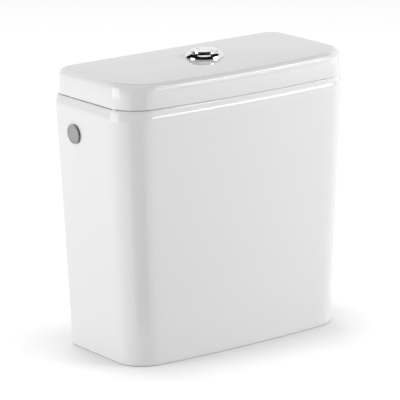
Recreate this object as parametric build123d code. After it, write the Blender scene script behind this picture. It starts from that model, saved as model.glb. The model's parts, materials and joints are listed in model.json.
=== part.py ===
from build123d import *
from math import atan, cos, radians, sin, sqrt
import os

# A close-coupled toilet cistern in millimetres. The origin is on the floor plane, under the flush outlet.
# +X is the user's right, -Y is the front, +Z is up.

# Cuts, running gaps and seats
overrun = 1.0
running_gap = 0.4
rest_gap = 0.3
thread_gap = 0.25
pin_gap = 0.08

# Ceramic tank
tank_height = 344.0
tank_shoulder_width = 369.0
tank_shoulder_depth = 179.0
side_lean = 14.0
front_lean = 16.0
tank_base_bow = 9.0
tank_shoulder_bow = 11.0
tank_front_corner = 39.0
tank_back_corner = 12.0
tank_wall = 9.0
outlet_set_back = 2.7
shoulder_drop = 11.0
shoulder_inset = 3.5
foot_round = 4.0
foot_rim_width = 12.0
recess_height = 34.0
floor_thickness = 11.0
outlet_hole_radius = 32.0
bolt_hole_radius = 6.0
bolt_spacing = 160.0
side_hole_radius = 11.5
side_hole_drop = 45.4
side_hole_to_back = 51.0
inlet_pad_radius = 20.0
inlet_pad_proud = 0.7
edge_steps = 4

# Ceramic lid
lid_side_step = 2.0
lid_front_overhang = 3.0
lid_bow = 11.0
lid_front_corner = 40.0
lid_back_corner = 20.0
lid_height = 34.9
lid_crown = 1.5
lid_crown_shares = [0.8, 0.6, 0.36]
lid_side_taper = 2.0
lid_edge_radius = 8.0
lid_foot_round = 1.5
lid_wall = 9.0
lid_top_thickness = 9.0
buffer_height = 1.6
buffer_radius = 2.8
buffer_y_share = 0.55

# Push button in the lid
button_hole_radius = 20.0
bezel_radius = 26.0
bezel_foot_height = 1.2
bezel_crest_radius = 23.6
bezel_crest_height = 5.2
bezel_lip_height = 6.8
gasket_thickness = 1.2
flange_radius = 23.0
flange_thickness = 2.0
shank_radius = 19.5
shank_wall = 1.7
shank_length = 46.0
shank_floor = 2.5
button_top_height = 9.3
button_cap_thickness = 3.0
button_edge = 0.6
button_skirt_wall = 1.8
button_skirt_height = 17.0
button_travel = 8.0
split_gap = 0.6
split_turn = 12.0
split_bulge_share = 0.34
stem_radius = 4.5
stem_length = 14.0
rod_radius = 3.0
rod_tip = 1.2
rod_x = 8.5
rod_y = 5.5
spring_radius = 6.4
spring_wire = 1.0
clamp_nut_radius = 25.0
clamp_nut_height = 9.0

# Flush valve base and its fixings under the floor
tail_radius = 29.8
tail_neck_radius = 29.5
tail_bore_radius = 25.5
tail_end_height = 0.0
base_gasket_thickness = 3.0
base_flange_radius = 44.0
base_flange_thickness = 4.0
seat_height = 14.0
cage_height = 52.0
cage_wall = 4.0
cage_ring_height = 8.0
cage_post_width = 12.0
cage_post_count = 4
back_nut_height = 11.0
back_nut_radius = 38.0
nut_lug_reach = 5.0
nut_lug_width = 9.0
nut_lug_count = 8
tail_free_length = 7.0
coupling_gasket_radius = 46.0
coupling_gasket_nose_radius = 38.0

# Flush valve tower, rockers and lift parts
tower_radius = 38.0
tower_wall = 2.2
tower_plate_thickness = 3.5
head_drop = 94.0
window_width = 30.0
window_margin = 24.0
window_count = 4
pivot_height = 29.0
valve_travel = 8.4
pivot_x = 12.0
pad_rise = 13.0
rocker_tip_arm = 20.0
rocker_width = 7.0
rocker_thickness = 6.0
rocker_hub_radius = 4.6
rocker_swing = 24.64
axle_radius = 1.5
cheek_thickness = 2.4
cheek_top_margin = 4.0
cheek_post_x = 22.0
cheek_post_width = 6.0
cheek_tie_gap = 2.0
hook_gap = 4.0
hook_thickness = 4.0
hook_bite = 5.0
tube_radius = 13.5
tube_wall = 2.0
tube_rise = 6.0
foot_radius = 25.0
foot_thickness = 3.0
spigot_radius = 12.5
seal_radius = 28.5
seal_thickness = 3.0
retainer_radius = 22.0
retainer_thickness = 3.0
collar_radius = 18.0
collar_height = 4.5
main_float_radius = 27.0
main_float_height = 44.0
main_float_clearance = 34.0
half_rod_radius = 2.5
half_float_radius = 14.0
half_float_height = 42.0
half_float_rise = 70.0
half_float_gap = 2.0
guide_thickness = 4.0
guide_margin = 4.0
guide_drop = 14.0
clip_thickness = 3.0
clip_radius = 5.5

# Fill valve on the right-hand wall
inlet_thread_radius = 10.48
inlet_neck_radius = 10.2
inlet_bore_radius = 6.0
inlet_thread_length = 14.0
inlet_nut_radius = 18.0
nut_corner_chamfer = 1.4
inlet_nut_thickness = 9.0
inlet_gasket_thickness = 2.0
inlet_flange_radius = 18.0
inlet_flange_thickness = 3.5
filter_length = 20.0
filter_wall = 1.0
barrel_radius = 13.0
barrel_wall = 2.5
barrel_length = 38.0
nozzle_radius = 5.0
nozzle_bore_radius = 3.2
nozzle_gallery = 30.0
head_radius = 19.0
head_thickness = 4.0
diaphragm_radius = 17.0
diaphragm_thickness = 2.0
cap_height = 9.0
cap_dome_radius = 14.0
pilot_radius = 5.0
pilot_length = 3.0
outlet_radius = 9.0
outlet_wall = 2.5
outlet_x_share = 0.42
outlet_drop = 24.0
silencer_wall = 1.6
silencer_length = 140.0
silencer_socket = 10.0
lever_pivot_drop = 20.0
lever_arm = 28.0
lever_swing = 15.0
lever_width = 6.0
lever_thickness = 5.0
lever_hub_radius = 4.6
lever_end_length = 6.0
lever_slot = 8.0
lever_pin_radius = 1.6
ear_thickness = 2.4
link_radius = 2.0
link_top = 10.0
collar_clip_radius = 4.5
level_margin = 20.0
chamber_radius = 24.5
chamber_wall = 2.0
chamber_floor = 2.5
chamber_height = 52.0
chamber_drain_radius = 2.5
bracket_width = 12.0
bracket_thickness = 4.0
bracket_ring = 3.0
fill_float_radius = 20.0
fill_float_height = 32.0

# Blanking plug in the left-hand side hole
plug_radius = 13.0
plug_thickness = 3.4
plug_rim = 1.8
plug_rim_height = 0.8
plug_seal_thickness = 1.6
plug_seal_inset = 0.8
plug_shank_radius = 9.8
plug_shank_wall = 2.0
plug_shank_reach = 12.0
plug_nut_radius = 16.0
plug_nut_thickness = 7.0

# Heights and places worked out from the values above
tank_base_width = tank_shoulder_width - 2 * side_lean
tank_base_depth = tank_shoulder_depth - front_lean
back_y = tank_shoulder_depth / 2 - outlet_set_back
side_hole_y = back_y - side_hole_to_back
lid_width = tank_shoulder_width - 2 * lid_side_step
lid_depth = tank_shoulder_depth + lid_front_overhang
shoulder_z = tank_height - shoulder_drop
floor_top = recess_height + floor_thickness
lid_bottom = tank_height + buffer_height
lid_top = lid_bottom + lid_height
lid_edge_top = lid_top - lid_crown
lid_under = lid_edge_top - lid_top_thickness
hole_z = tank_height - side_hole_drop
draft = atan(side_lean / shoulder_z)

bore_radius = shank_radius - shank_wall
button_radius = bore_radius - running_gap
flange_bottom = lid_top + gasket_thickness
shank_bottom = lid_top - shank_length
cap_top = lid_top + button_top_height
stem_bottom = cap_top - button_cap_thickness - stem_length

base_bottom = floor_top + base_gasket_thickness
base_top = base_bottom + base_flange_thickness
seat_z = base_top + seat_height
cage_top = base_top + cage_height
head_z = tank_height - head_drop
pivot_z = head_z + pivot_height
pad_z = pivot_z + pad_rise
rod_end = pad_z + rest_gap
tube_top = head_z + tube_rise
seal_bottom = seat_z + rest_gap
foot_bottom = seal_bottom + seal_thickness
foot_top = foot_bottom + foot_thickness
retainer_bottom = seal_bottom - retainer_thickness
lane_y = rod_y
lane_half = rocker_width / 2 + running_gap
tip_x = pivot_x + rocker_tip_arm
tip_top = pivot_z + rocker_thickness / 2
finger_bottom = tip_top + rest_gap
hook_x = tip_x + hook_gap
half_rod_x = tower_radius + half_float_radius + half_float_gap
half_float_bottom = floor_top + half_float_rise
half_float_top = half_float_bottom + half_float_height


def cylinder(radius, bottom, top, x=0, y=0):
    """Upright cylinder between two heights."""
    return Pos(x, y, bottom) * extrude(Circle(radius), top - bottom)


def tube(outer, inner, bottom, top, x=0, y=0):
    """Upright ring or tube between two heights."""
    return Pos(x, y, bottom) * extrude(Circle(outer) - Circle(inner), top - bottom)


def cylinder_x(radius, start, end, y, z):
    """Cylinder lying along X."""
    return Pos(start, y, z) * Rot(0, 90, 0) * extrude(Circle(radius), end - start)


def tube_x(outer, inner, start, end, y, z):
    """Ring or tube lying along X."""
    return Pos(start, y, z) * Rot(0, 90, 0) * extrude(Circle(outer) - Circle(inner), end - start)


def cylinder_y(radius, start, end, x, z):
    """Cylinder lying along Y."""
    return Pos(x, start, z) * Rot(-90, 0, 0) * extrude(Circle(radius), end - start)


def block(x0, x1, y0, y1, z0, z1):
    """Box between two corners."""
    middle = Pos((x0 + x1) / 2, (y0 + y1) / 2, (z0 + z1) / 2)
    return middle * Box(abs(x1 - x0), abs(y1 - y0), abs(z1 - z0))


def plan(width, depth, bow, front_radius, back_radius, back):
    """Flat back, straight sides and a front bowed outwards, with rounded corners."""
    half = width / 2
    front = back - depth
    side_end = front + bow
    edges = [
        Line((-half, back), (half, back)),
        Line((half, back), (half, side_end)),
        ThreePointArc((half, side_end), (0, front), (-half, side_end)),
        Line((-half, side_end), (-half, back)),
    ]
    sketch = Sketch() + make_face(edges)
    sketch = fillet(sketch.vertices().group_by(Axis.Y)[-1], back_radius)
    return fillet(sketch.vertices().group_by(Axis.Y)[0], front_radius)


def side_half(height):
    """Half width of the tank's outside at a height up to the shoulder."""
    share = min(height / shoulder_z, 1)
    return tank_base_width / 2 + share * side_lean


def tank_plan(height, inset=0, back_inset=0):
    """Plan of the tank at a height, drawn in from its outside."""
    share = min(height / shoulder_z, 1)
    width = 2 * side_half(height) - 2 * inset
    depth = tank_base_depth + share * front_lean - inset - back_inset
    bow = tank_base_bow + share * (tank_shoulder_bow - tank_base_bow)
    back_radius = tank_back_corner - back_inset
    outline = plan(width, depth, bow, tank_front_corner - inset, back_radius, back_y - back_inset)
    return Pos(0, 0, height) * outline


def quarter_round(radius, steps):
    """Height and inset pairs of a rounded edge, from its sharp end to its blend."""
    turns = [90 * step / steps for step in range(steps + 1)]
    return [(radius * (1 - cos(radians(turn))), radius * (1 - sin(radians(turn)))) for turn in turns]


def shoulder_profile():
    """Height and inset pairs of the wall that curves in under the lid."""
    sweep_radius = (shoulder_drop ** 2 + shoulder_inset ** 2) / (2 * shoulder_inset)
    rises = [shoulder_drop * step / edge_steps for step in range(edge_steps + 1)]
    return [(shoulder_z + rise, sweep_radius - sqrt(sweep_radius ** 2 - rise ** 2)) for rise in rises]


def cistern_tank():
    """Ceramic tank on a foot rim, with its outlet, bolt holes and two side holes."""
    feet = [tank_plan(height, inset, 0) for height, inset in quarter_round(foot_round, edge_steps)]
    tops = [tank_plan(height, inset, 0) for height, inset in shoulder_profile()]
    shell = loft(feet + tops, ruled=True)
    room = loft([
        tank_plan(floor_top, tank_wall, tank_wall),
        tank_plan(shoulder_z, tank_wall, tank_wall),
        tank_plan(tank_height + overrun, tank_wall + shoulder_inset, tank_wall),
    ], ruled=True)
    recess = loft([
        tank_plan(-overrun, foot_rim_width, foot_rim_width - overrun),
        tank_plan(recess_height, foot_rim_width, foot_rim_width - overrun),
    ], ruled=True)
    tank = shell - room - recess
    tank += inlet_pad()
    tank -= cylinder(outlet_hole_radius, recess_height - overrun, floor_top + overrun)
    for side in (-1, 1):
        bolt_x = side * bolt_spacing / 2
        tank -= cylinder(bolt_hole_radius, recess_height - overrun, floor_top + overrun, bolt_x)
    reach = tank_shoulder_width / 2 + overrun
    return tank - cylinder_x(side_hole_radius, -reach, reach, side_hole_y, hole_z)


def inlet_pad():
    """Upright flats inside and outside the right-hand wall, round the inlet hole."""
    return cylinder_x(inlet_pad_radius, pad_inner_x, pad_outer_x, side_hole_y, hole_z)


pad_outer_x = side_half(hole_z + inlet_pad_radius) + inlet_pad_proud
pad_inner_x = side_half(hole_z - inlet_pad_radius) - tank_wall - inlet_pad_proud


def lid_plan(height, inset, back_inset):
    """Plan of the lid at a height, drawn in from its widest outline."""
    front_radius = lid_front_corner - inset
    depth = lid_depth - inset - back_inset
    back_radius = lid_back_corner - inset
    outline = plan(lid_width - 2 * inset, depth, lid_bow, front_radius, back_radius, back_y - back_inset)
    return Pos(0, 0, height) * outline


def cistern_lid():
    """Ceramic lid with a rounded top edge and a hollow underside."""
    feet = []
    for rise, inset in quarter_round(lid_foot_round, edge_steps):
        feet.append(lid_plan(lid_bottom + rise, inset, inset))
    tops = []
    for drop, inset in reversed(quarter_round(lid_edge_radius, edge_steps)):
        tops.append(lid_plan(lid_edge_top - drop, lid_side_taper + inset, inset))
    lid = loft(feet + tops + crown_plans(), ruled=True)
    hollow = loft([
        lid_plan(lid_bottom - overrun, lid_wall, lid_wall),
        lid_plan(lid_under, lid_wall + lid_side_taper, lid_wall),
    ], ruled=True)
    return lid - hollow - cylinder(button_hole_radius, lid_under - overrun, lid_top + overrun)


def crown_plans():
    """Shrinking plans of the lid's top, each a little higher, up to the flat landing under the button."""
    blend = lid_side_taper + lid_edge_radius
    full_rise = 1 - lid_crown_shares[-1] ** 2
    plans = []
    for share in lid_crown_shares:
        height = lid_edge_top + lid_crown * (1 - share ** 2) / full_rise
        plans.append(Pos(0, 0, height) * scale(lid_plan(0, blend, lid_edge_radius), by=(share, share, 1)))
    return plans


def lid_buffers():
    """Four small rubber pads on the rim that the lid rests on."""
    rim_outer = tank_shoulder_width / 2 - shoulder_inset
    skirt_inner = lid_width / 2 - lid_wall
    pad_x = (rim_outer + skirt_inner) / 2
    pad_y = buffer_y_share * (tank_shoulder_depth / 2)
    pads = Part()
    for side in (-1, 1):
        for end in (-1, 1):
            pads += cylinder(buffer_radius, tank_height, lid_bottom, side * pad_x, end * pad_y)
    return pads


def button_bezel():
    """Chrome ring on the lid, domed from its foot up to its lip, closed over the housing flange."""
    inner = bore_radius
    roof = flange_bottom + flange_thickness
    foot = (bezel_radius, lid_top + bezel_foot_height)
    crest = (bezel_crest_radius, lid_top + bezel_crest_height)
    lip = (inner, lid_top + bezel_lip_height)
    edges = [
        Line((bezel_radius, lid_top), foot),
        ThreePointArc(foot, crest, lip),
        Line(lip, (inner, roof)),
        Line((inner, roof), (flange_radius + rest_gap, roof)),
        Line((flange_radius + rest_gap, roof), (flange_radius + rest_gap, lid_top)),
        Line((flange_radius + rest_gap, lid_top), (bezel_radius, lid_top)),
    ]
    return revolve(Plane.XZ * make_face(edges), Axis.Z)


def button_gasket():
    """Flat rubber ring between the housing flange and the lid."""
    return tube(flange_radius, shank_radius + thread_gap, lid_top, flange_bottom)


def button_housing():
    """Threaded sleeve through the lid with a flange on top and a floor that guides the rods."""
    body = tube(flange_radius, bore_radius, flange_bottom, flange_bottom + flange_thickness)
    body += tube(shank_radius, bore_radius, shank_bottom, flange_bottom)
    body += cylinder(shank_radius, shank_bottom, shank_bottom + shank_floor)
    for side in (-1, 1):
        guide = cylinder(
            rod_radius + running_gap, shank_bottom - overrun, shank_bottom + shank_floor + overrun,
            side * rod_x, side * rod_y)
        body -= guide
    return body


def lugged_nut(radius, bore, bottom, height):
    """Ring nut with finger lugs round it."""
    outline = Circle(radius)
    for index in range(nut_lug_count):
        lug = Pos(radius, 0) * Rectangle(2 * nut_lug_reach, nut_lug_width)
        outline += Rot(0, 0, 360 * index / nut_lug_count) * lug
    return Pos(0, 0, bottom) * extrude(outline - Circle(bore), height)


def lid_clamp_nut():
    """Ring nut that clamps the housing to the lid from below."""
    bottom = lid_under - clamp_nut_height
    return lugged_nut(clamp_nut_radius, shank_radius + thread_gap, bottom, clamp_nut_height)


def split_outline(side, radius):
    """One comma of the round button, on the given side of its S-shaped split."""
    reach = radius + overrun
    bulge = split_bulge_share * reach
    gap = split_gap / 2
    upper = (-bulge + side * gap, reach / 2)
    lower = (bulge + side * gap, -reach / 2)
    edges = [
        ThreePointArc((side * gap, reach), upper, (side * gap, 0)),
        ThreePointArc((side * gap, 0), lower, (side * gap, -reach)),
        Line((side * gap, -reach), (side * reach * 2, -reach)),
        Line((side * reach * 2, -reach), (side * reach * 2, reach)),
        Line((side * reach * 2, reach), (side * gap, reach)),
    ]
    return Rot(0, 0, -split_turn) * make_face(edges)


def flush_button(side):
    """Chrome half button: bevelled cap, skirt and the stem that the push rod screws into."""
    comma = split_outline(side, button_radius)
    cap_bottom = cap_top - button_cap_thickness
    cap = Pos(0, 0, cap_bottom) * extrude(comma & Circle(button_radius), button_cap_thickness)
    cap = chamfer(cap.edges().group_by(Axis.Z)[-1], button_edge)
    ring = Circle(button_radius) - Circle(button_radius - button_skirt_wall)
    skirt_drop = button_skirt_height - button_cap_thickness
    skirt = Pos(0, 0, cap_bottom - skirt_drop) * extrude(comma & ring, skirt_drop)
    stem = cylinder(stem_radius, stem_bottom, cap_bottom, side * rod_x, side * rod_y)
    return cap + skirt + stem


def button_spring(side):
    """Return spring round the rod, between the stem and the housing floor."""
    bottom = shank_bottom + shank_floor
    return tube(spring_radius, spring_radius - spring_wire, bottom, stem_bottom, side * rod_x, side * rod_y)


def push_rod(side):
    """Rod with a bevelled end that carries the press down to its rocker."""
    rod = cylinder(rod_radius, rod_end, stem_bottom, side * rod_x, side * rod_y)
    return chamfer(rod.edges().group_by(Axis.Z)[0], rod_tip)


def valve_base():
    """Threaded tail, flange, seat and open cage in one moulding."""
    free_end = tail_end_height + tail_free_length
    base = tube(tail_radius, tail_bore_radius, tail_end_height, free_end)
    base += tube(tail_neck_radius, tail_bore_radius, free_end, seat_z)
    base += tube(base_flange_radius, tail_bore_radius, base_bottom, base_top)
    base += tube(tower_radius, tower_radius - cage_wall, cage_top - cage_ring_height, cage_top)
    posts = tube(tower_radius, tower_radius - cage_wall, base_top, cage_top)
    bars = Part()
    for index in range(cage_post_count):
        turn = Rot(0, 0, 360 * (index + 0.5) / cage_post_count)
        bars += turn * block(0, tower_radius, -cage_post_width / 2, cage_post_width / 2, base_top, cage_top)
    return base + (posts & bars)


def base_gasket():
    """Rubber washer between the valve flange and the tank floor."""
    return tube(base_flange_radius, tail_neck_radius + thread_gap, floor_top, base_bottom)


def back_nut():
    """Plastic nut that clamps the valve base to the floor from below."""
    return lugged_nut(
        back_nut_radius, tail_neck_radius + thread_gap, recess_height - back_nut_height, back_nut_height)


def coupling_gasket():
    """Tapered rubber ring that seals the outlet into the pan."""
    top = recess_height - back_nut_height
    inner = tail_neck_radius + thread_gap
    nose = tail_end_height + tail_free_length + rest_gap
    outline = Polygon(
        (inner, nose), (coupling_gasket_nose_radius, nose), (coupling_gasket_radius, top), (inner, top),
        align=None)
    return revolve(Plane.XZ * outline, Axis.Z)


def valve_tower():
    """Windowed tower on the cage, with a guide plate on top and two float guides."""
    plate_bottom = head_z - tower_plate_thickness
    inner = tower_radius - tower_wall
    tower = tube(tower_radius, inner, cage_top, head_z)
    tower += tube(inner, tube_radius + running_gap, plate_bottom, head_z)
    for index in range(window_count):
        turn = Rot(0, 0, 360 * (index + 0.5) / window_count)
        window = block(
            tube_radius, tower_radius + overrun, -window_width / 2, window_width / 2,
            cage_top + window_margin, plate_bottom - window_margin)
        tower -= turn * window
    guide_half = half_rod_radius + guide_margin
    for top in (head_z - guide_drop, half_float_top + valve_travel + guide_drop):
        guide = block(
            -half_rod_x, -inner, lane_y - guide_half, lane_y + guide_half, top - guide_thickness, top)
        guide += cylinder(guide_half, top - guide_thickness, top, -half_rod_x, lane_y)
        cut_bottom = top - guide_thickness - overrun
        guide -= cylinder(tower_radius - tower_wall / 2, cut_bottom, top + overrun)
        guide -= cylinder(half_rod_radius + running_gap, cut_bottom, top + overrun, -half_rod_x, lane_y)
        tower += guide
    return tower


def axle_span(side):
    """Ends along Y of one rocker's axle, from the middle cheek to the outer one."""
    ends = (-side * cheek_thickness / 2, side * (lane_y + lane_half + cheek_thickness))
    return min(ends), max(ends)


def rocker_bridge():
    """Three arched cheeks tied together on the tower head, which carry the two rocker axles."""
    top = pivot_z + cheek_top_margin
    outer = cheek_post_x + cheek_post_width
    lift_room = tube_top + valve_travel + running_gap
    half_span = lane_y + lane_half + cheek_thickness
    bridge = Part()
    for middle in (-half_span + cheek_thickness / 2, 0, half_span - cheek_thickness / 2):
        y0 = middle - cheek_thickness / 2
        y1 = middle + cheek_thickness / 2
        cheek = block(-outer, outer, y0, y1, head_z, top)
        bridge += cheek - block(
            -cheek_post_x, cheek_post_x, y0 - overrun, y1 + overrun, head_z - overrun, lift_room)
    for side in (-1, 1):
        tie_top = pivot_z - rocker_thickness / 2 - cheek_tie_gap
        bridge += block(side * cheek_post_x, side * outer, -half_span, half_span, lift_room, tie_top)
    for side in (-1, 1):
        start, end = axle_span(side)
        bridge -= cylinder_y(axle_radius, start, end, -side * pivot_x, pivot_z)
    return bridge


def rocker(side):
    """Crossed lever: its pad is under one push rod and its tip under a hook beyond the far axle."""
    centre_x = -side * pivot_x
    pad_arm = rod_x + pivot_x
    half = rocker_thickness / 2
    pad_half = rod_radius + running_gap
    wide = rocker_width / 2
    arm = Pos((pad_arm - rocker_tip_arm) / 2, 0) * Rectangle(pad_arm + rocker_tip_arm, rocker_thickness)
    column = Pos(pad_arm, (pad_rise - half) / 2) * Rectangle(2 * pad_half, pad_rise + half)
    outline = arm + column + Circle(rocker_hub_radius) - Circle(axle_radius + pin_gap)
    plate = extrude(Plane.XZ * outline, wide, both=True)
    place = Pos(centre_x, side * lane_y, pivot_z)
    turn = Rot(0, 0, 0) if side > 0 else Rot(0, 0, 180)
    return place * turn * plate


def rocker_axles():
    """Two steel pins, one through each rocker and the cheeks beside it."""
    pins = Part()
    for side in (-1, 1):
        start, end = axle_span(side)
        pins += cylinder_y(axle_radius, start, end, -side * pivot_x, pivot_z)
    return pins


def overflow_tube():
    """Open tube with the sealing foot at its lower end."""
    inner = tube_radius - tube_wall
    body = tube(tube_radius, inner, foot_top, tube_top)
    body += tube(foot_radius, inner, foot_bottom, foot_top)
    return body + tube(spigot_radius, inner - (tube_radius - spigot_radius), retainer_bottom, foot_bottom)


def flush_seal():
    """Rubber disc that closes the seat."""
    return tube(seal_radius, spigot_radius + thread_gap, seal_bottom, foot_bottom)


def seal_retainer():
    """Ring that holds the seal up against the foot of the tube."""
    return tube(retainer_radius, spigot_radius + thread_gap, retainer_bottom, seal_bottom)


def lift_collar():
    """Collar at the top of the tube with a hook over the full-flush rocker tip."""
    bottom = tube_top - collar_height
    y0 = -lane_y - rocker_width / 2
    y1 = -lane_y + rocker_width / 2
    outer = hook_x + hook_thickness
    top = finger_bottom + hook_thickness
    collar = cylinder(collar_radius, bottom, tube_top)
    collar += block(0, outer, y0, y1, bottom, tube_top)
    collar -= cylinder(tube_radius + thread_gap, bottom - overrun, tube_top + overrun)
    collar += block(hook_x, outer, y0, y1, bottom, top)
    return collar + block(tip_x - hook_bite, outer, y0, y1, finger_bottom, top)


def main_float():
    """Foam float on the tube that holds the valve open while the tank empties."""
    bottom = cage_top + main_float_clearance
    return tube(main_float_radius, tube_radius + thread_gap, bottom, bottom + main_float_height)


def half_float_rod():
    """Rod outside the tower with a hook over the half-flush rocker tip."""
    y0 = lane_y - rocker_width / 2
    y1 = lane_y + rocker_width / 2
    top = finger_bottom + hook_thickness
    rod = cylinder(half_rod_radius, half_float_bottom - clip_thickness, finger_bottom, -half_rod_x, lane_y)
    return rod + block(-half_rod_x - half_rod_radius, -tip_x + hook_bite, y0, y1, finger_bottom, top)


def half_flush_float():
    """Foam float on its rod that closes the valve early."""
    bore = half_rod_radius + thread_gap
    return tube(half_float_radius, bore, half_float_bottom, half_float_top, -half_rod_x, lane_y)


def half_float_clips():
    """Two clips that set the float's height on its rod."""
    clips = Part()
    for bottom in (half_float_bottom - clip_thickness, half_float_top):
        clips += tube(
            clip_radius, half_rod_radius + thread_gap, bottom, bottom + clip_thickness, -half_rod_x, lane_y)
    return clips


# Places of the fill valve, worked inwards from the right-hand wall
gasket_x = pad_inner_x - inlet_gasket_thickness
flange_x = gasket_x - inlet_flange_thickness
head_x = flange_x - barrel_length
seat_x = head_x - head_thickness
cap_x = seat_x - diaphragm_thickness
cap_face_x = cap_x - cap_height
pilot_x = cap_face_x - pilot_length
thread_x = pad_outer_x + inlet_nut_thickness + rest_gap
tail_x = thread_x + inlet_thread_length
outlet_x = flange_x - outlet_x_share * barrel_length
outlet_z = hole_z - outlet_drop
lever_z = hole_z - lever_pivot_drop
lever_tilt = radians(lever_swing)
crank_reach = lever_pivot_drop + pilot_radius / 2
lever_x = pilot_x - rest_gap - lever_thickness / 2 * cos(lever_tilt) - crank_reach * sin(lever_tilt)
link_x = lever_x - lever_arm * (1 + cos(lever_tilt)) / 2
float_travel = 2 * lever_arm * sin(lever_tilt)
lever_end_z = lever_z - lever_arm * sin(lever_tilt)
chamber_top = tube_top - level_margin
chamber_bottom = chamber_top - chamber_height
fill_float_bottom = chamber_bottom + chamber_floor + rest_gap
fill_float_top = fill_float_bottom + fill_float_height
clip_reach = (lever_thickness / 2 + collar_clip_radius * sin(lever_tilt)) / cos(lever_tilt) + rest_gap


def hex_nut(radius, bore, thickness):
    """Hexagonal nut standing on the ground plane, its corners turned off at both ends."""
    nut = extrude(RegularPolygon(radius, 6) - Circle(bore), thickness)
    rim = radius * cos(radians(30))
    slope = nut_corner_chamfer
    turned = Polygon(
        (0, 0), (rim, 0), (radius, slope), (radius, thickness - slope), (rim, thickness), (0, thickness),
        align=None)
    return nut & revolve(Plane.XZ * turned, Axis.Z)


def fill_valve_body():
    """Threaded inlet, flange, barrel with its nozzle, and the outlet that points down."""
    y = side_hole_y
    body = cylinder_x(inlet_neck_radius, gasket_x, thread_x, y, hole_z)
    body += cylinder_x(inlet_thread_radius, thread_x, tail_x, y, hole_z)
    body += cylinder_x(inlet_flange_radius, flange_x, gasket_x, y, hole_z)
    body += cylinder_x(barrel_radius, head_x, flange_x, y, hole_z)
    body += cylinder_x(head_radius, seat_x, head_x, y, hole_z)
    body += cylinder(outlet_radius, outlet_z, hole_z, outlet_x, y)
    gallery_end = seat_x + nozzle_gallery
    body -= tube_x(barrel_radius - barrel_wall, nozzle_radius, seat_x - overrun, gallery_end, y, hole_z)
    body -= cylinder_x(nozzle_bore_radius, seat_x - overrun, tail_x, y, hole_z)
    body -= cylinder_x(inlet_bore_radius, flange_x, tail_x + overrun, y, hole_z)
    drop_top = hole_z - nozzle_radius - barrel_wall
    return body - cylinder(outlet_radius - outlet_wall, outlet_z - overrun, drop_top, outlet_x, y)


def inlet_filter():
    """Cup-shaped strainer pushed into the inlet."""
    outer = inlet_bore_radius - thread_gap
    body = cylinder_x(outer, tail_x - filter_length, tail_x, side_hole_y, hole_z)
    return body - cylinder_x(
        outer - filter_wall, tail_x - filter_length + filter_wall, tail_x + overrun, side_hole_y, hole_z)


def inlet_gasket():
    """Rubber washer between the inlet flange and the wall."""
    return tube_x(
        inlet_flange_radius, inlet_neck_radius + thread_gap, gasket_x, pad_inner_x, side_hole_y, hole_z)


def inlet_nut():
    """Hexagonal nut on the inlet, outside the wall."""
    nut = hex_nut(inlet_nut_radius, inlet_neck_radius + thread_gap, inlet_nut_thickness)
    return Pos(pad_outer_x, side_hole_y, hole_z) * Rot(0, 90, 0) * nut


def diaphragm():
    """Rubber disc between the nozzle and the cap."""
    return cylinder_x(diaphragm_radius, cap_x, seat_x, side_hole_y, hole_z)


def diaphragm_cap():
    """Cap over the diaphragm with the pilot boss and the two lever ears."""
    y = side_hole_y
    cap = cylinder_x(head_radius, cap_x - head_thickness, cap_x, y, hole_z)
    cap += cylinder_x(cap_dome_radius, cap_face_x, cap_x, y, hole_z)
    cap += cylinder_x(pilot_radius, pilot_x, cap_face_x, y, hole_z)
    gap = lever_width / 2 + running_gap
    for side in (-1, 1):
        y0 = y + side * gap
        y1 = y0 + side * ear_thickness
        ear = block(
            lever_x, cap_x - head_thickness, y0, y1, lever_z - lever_hub_radius, lever_z + lever_hub_radius)
        ear += cylinder_y(lever_hub_radius, min(y0, y1), max(y0, y1), lever_x, lever_z)
        cap += ear
    return cap - cylinder_y(
        lever_pin_radius + pin_gap, y - gap - ear_thickness - overrun, y + gap + ear_thickness + overrun,
        lever_x, lever_z)


def float_lever():
    """Cranked lever: the long arm rides on the float rod, the short arm presses the pilot."""
    arm_length = lever_arm + lever_end_length
    arm = Pos(-arm_length / 2, 0) * Rectangle(arm_length, lever_thickness)
    crank = Pos(0, crank_reach / 2) * Rectangle(lever_thickness, crank_reach)
    outline = arm + crank + Circle(lever_hub_radius) - Circle(lever_pin_radius + pin_gap)
    lever = extrude(Plane.XZ * outline, lever_width / 2, both=True)
    slot = block(
        -lever_arm - lever_slot / 2, -lever_arm + lever_slot / 2, -link_radius - running_gap,
        link_radius + running_gap, -lever_thickness, lever_thickness)
    return Pos(lever_x, side_hole_y, lever_z) * Rot(0, -lever_swing, 0) * (lever - slot)


def lever_pin():
    """Steel pin through the ears and the lever."""
    reach = lever_width / 2 + running_gap + ear_thickness
    return cylinder_y(lever_pin_radius, side_hole_y - reach, side_hole_y + reach, lever_x, lever_z)


def float_chamber():
    """Open cup that the float sits in, hung from the valve barrel on a bracket."""
    y = side_hole_y
    cup = cylinder(chamber_radius, chamber_bottom, chamber_top, link_x, y)
    cup -= cylinder(
        chamber_radius - chamber_wall, chamber_bottom + chamber_floor, chamber_top + overrun, link_x, y)
    cup -= cylinder(
        chamber_drain_radius, chamber_bottom - overrun, chamber_bottom + chamber_floor + overrun,
        link_x + fill_float_radius / 2, y)
    ring_x0 = head_x + rest_gap
    ring_x1 = ring_x0 + bracket_thickness * 2
    y0 = y - bracket_width / 2
    y1 = y + bracket_width / 2
    ring_inner = barrel_radius + thread_gap
    shelf = block(
        link_x + chamber_radius - chamber_wall, ring_x1, y0, y1, chamber_top - bracket_thickness, chamber_top)
    post = block(ring_x0, ring_x1, y0, y1, chamber_top - bracket_thickness, hole_z)
    ring = cylinder_x(ring_inner + bracket_ring, ring_x0, ring_x1, y, hole_z)
    hanger = post + ring - cylinder_x(ring_inner, ring_x0 - overrun, ring_x1 + overrun, y, hole_z)
    return cup + shelf + hanger


def fill_float():
    """Closed float in the chamber."""
    return cylinder(fill_float_radius, fill_float_bottom, fill_float_top, link_x, side_hole_y)


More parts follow.
